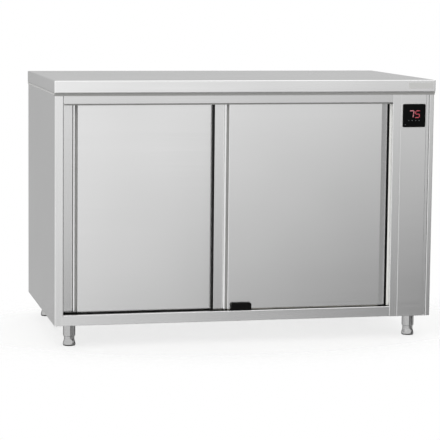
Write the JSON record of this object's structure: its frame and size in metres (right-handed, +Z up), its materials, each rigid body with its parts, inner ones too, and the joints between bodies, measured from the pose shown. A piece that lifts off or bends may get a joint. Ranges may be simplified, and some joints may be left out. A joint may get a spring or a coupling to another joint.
{
  "type": "plate warmer cabinet",
  "caption": "Free-standing steel cupboard that keeps plates warm: insulated chamber with a shelf, sliding doors on hung rollers, fan heating in a side column, levelling feet.",
  "frame": {"origin": "on the floor under the middle of the cabinet's overall box", "axes": "+X to the right seen from the front, +Y from the doors to the back, +Z up"},
  "size_m": [1.28, 0.7, 0.87],
  "materials": {
    "brushed_steel_sheet": "fine brushed grain",
    "inner_steel_sheet": "mill finish",
    "steel_brackets": "plain rolled",
    "heater_steel": "heat darkened",
    "polished_steel": "polished",
    "track_aluminium": "satin anodised",
    "insulation_wool": "matte",
    "black_plastic": "fine grained",
    "bezel_plastic": "satin",
    "display_glass": "glossy black",
    "board_laminate": "satin",
    "terminal_plastic": "satin",
    "roller_plastic": "satin",
    "stop_rubber": "matte"
  },
  "bodies": {
    "cabinet": {"air_duct": "steel_brackets", "air_grilles": "inner_steel_sheet", "base_pan": "brushed_steel_sheet", "cable_gland": "black_plastic", "ceiling_insulation": "insulation_wool", "chamber_ceiling": "inner_steel_sheet", "chamber_floor": "inner_steel_sheet", "chamber_left_wall": "inner_steel_sheet", "chamber_rear_wall": "inner_steel_sheet", "control_fascia": "brushed_steel_sheet", "controller_bezel": "bezel_plastic", "controller_board": "board_laminate", "controller_case": "black_plastic", "display_glass": "display_glass", "divider_wall": "brushed_steel_sheet", "door_guide": "black_plastic", "door_stops": "stop_rubber", "door_track": "track_aluminium", "electrics_plate": "steel_brackets", "fan_frame": "black_plastic", "floor_insulation": "insulation_wool", "heater_element": "heater_steel", "left_insulation": "insulation_wool", "left_side_panel": "brushed_steel_sheet", "leg_plates": "steel_brackets", "leg_tubes": "polished_steel", "middle_shelf": "inner_steel_sheet", "rear_insulation": "insulation_wool", "rear_panel": "brushed_steel_sheet", "right_side_panel": "brushed_steel_sheet", "safety_thermostat": "black_plastic", "shelf_clips": "steel_brackets", "shelf_uprights": "steel_brackets", "temperature_probe": "steel_brackets", "terminal_block": "terminal_plastic", "top_rail": "brushed_steel_sheet", "worktop": "brushed_steel_sheet", "worktop_stiffeners": "steel_brackets"},
    "left_door": {"left_door_skin": "brushed_steel_sheet", "left_door_back": "inner_steel_sheet", "left_door_core": "insulation_wool", "left_door_hangers": "steel_brackets"},
    "left_door_left_roller_body": {"left_door_left_roller": "roller_plastic"},
    "left_door_right_roller_body": {"left_door_right_roller": "roller_plastic"},
    "right_door": {"right_door_skin": "brushed_steel_sheet", "right_door_back": "inner_steel_sheet", "right_door_core": "insulation_wool", "right_door_hangers": "steel_brackets"},
    "right_door_left_roller_body": {"right_door_left_roller": "roller_plastic"},
    "right_door_right_roller_body": {"right_door_right_roller": "roller_plastic"},
    "front_left_foot_body": {"front_left_foot": "polished_steel"},
    "front_right_foot_body": {"front_right_foot": "polished_steel"},
    "rear_left_foot_body": {"rear_left_foot": "polished_steel"},
    "rear_right_foot_body": {"rear_right_foot": "polished_steel"},
    "fan_rotor_body": {"fan_rotor": "black_plastic"}
  },
  "joints": [
    {"name": "left_door_slide", "type": "slide", "parent": "cabinet", "child": "left_door", "axis": [1, 0, 0], "range_m": [0, 0.495]},
    {"name": "left_door_left_roller_turn", "type": "hinge", "parent": "left_door", "child": "left_door_left_roller_body", "pos_m": [-0.527, -0.294, 0.814], "axis": [0, 1, 0], "range_deg": [0, 3152]},
    {"name": "left_door_right_roller_turn", "type": "hinge", "parent": "left_door", "child": "left_door_right_roller_body", "pos_m": [-0.096, -0.294, 0.814], "axis": [0, 1, 0], "range_deg": [0, 3152]},
    {"name": "right_door_slide", "type": "slide", "parent": "cabinet", "child": "right_door", "axis": [-1, 0, 0], "range_m": [0, 0.495]},
    {"name": "right_door_left_roller_turn", "type": "hinge", "parent": "right_door", "child": "right_door_left_roller_body", "pos_m": [-0.029, -0.319, 0.814], "axis": [0, -1, 0], "range_deg": [0, 3152]},
    {"name": "right_door_right_roller_turn", "type": "hinge", "parent": "right_door", "child": "right_door_right_roller_body", "pos_m": [0.402, -0.319, 0.814], "axis": [0, -1, 0], "range_deg": [0, 3152]},
    {"name": "front_left_foot_height", "type": "slide", "parent": "cabinet", "child": "front_left_foot_body", "axis": [0, 0, -1], "range_m": [0, 0.02]},
    {"name": "front_right_foot_height", "type": "slide", "parent": "cabinet", "child": "front_right_foot_body", "axis": [0, 0, -1], "range_m": [0, 0.02]},
    {"name": "rear_left_foot_height", "type": "slide", "parent": "cabinet", "child": "rear_left_foot_body", "axis": [0, 0, -1], "range_m": [0, 0.02]},
    {"name": "rear_right_foot_height", "type": "slide", "parent": "cabinet", "child": "rear_right_foot_body", "axis": [0, 0, -1], "range_m": [0, 0.02]},
    {"name": "fan_spin", "type": "hinge", "parent": "cabinet", "child": "fan_rotor_body", "pos_m": [0.5152, 0.02, 0.48], "axis": [1, 0, 0], "continuous": true}
  ],
  "couplings": [
    {"joint": "left_door_left_roller_turn", "follows": "left_door_slide", "rad_per_m": 111.11},
    {"joint": "left_door_right_roller_turn", "follows": "left_door_slide", "rad_per_m": 111.11},
    {"joint": "right_door_left_roller_turn", "follows": "right_door_slide", "rad_per_m": 111.11},
    {"joint": "right_door_right_roller_turn", "follows": "right_door_slide", "rad_per_m": 111.11}
  ]
}
